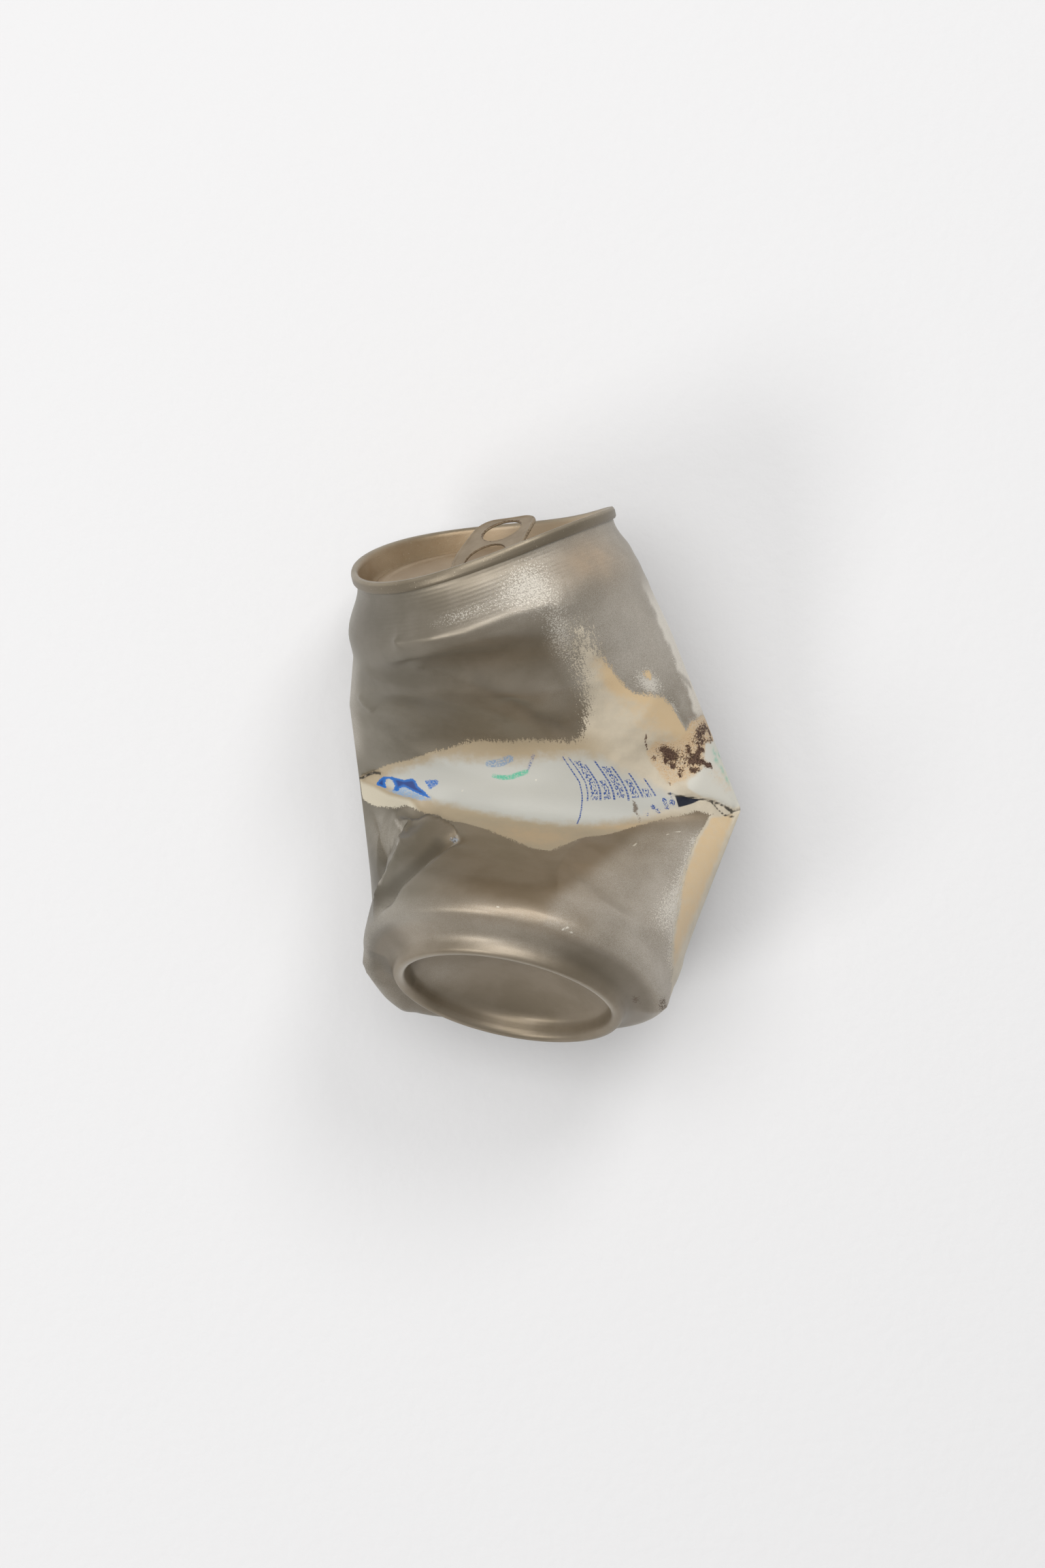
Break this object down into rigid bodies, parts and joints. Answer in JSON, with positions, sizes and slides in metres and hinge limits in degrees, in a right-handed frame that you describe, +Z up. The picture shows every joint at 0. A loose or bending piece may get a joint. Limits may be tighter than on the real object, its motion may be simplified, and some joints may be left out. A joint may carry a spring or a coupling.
{
  "type": "crushed drink can",
  "caption": "Crushed aluminium drink can, kinked forward at mid-height, lying on its back, with worn satin paint.",
  "frame": {"origin": "on the floor under the middle of the box", "axes": "+Z up out of the folded front, +Y towards the lid end, +X to the right when looking down with the lid at the top"},
  "size_m": [0.0856, 0.117, 0.0768],
  "materials": {
    "body_paint": "satin, worn through to a pale undercoat",
    "lid_paint": "satin",
    "tab_paint": "satin"
  },
  "bodies": {
    "root": {"can_body": "body_paint", "can_end": "lid_paint", "pull_tab": "tab_paint"}
  },
  "joints": []
}
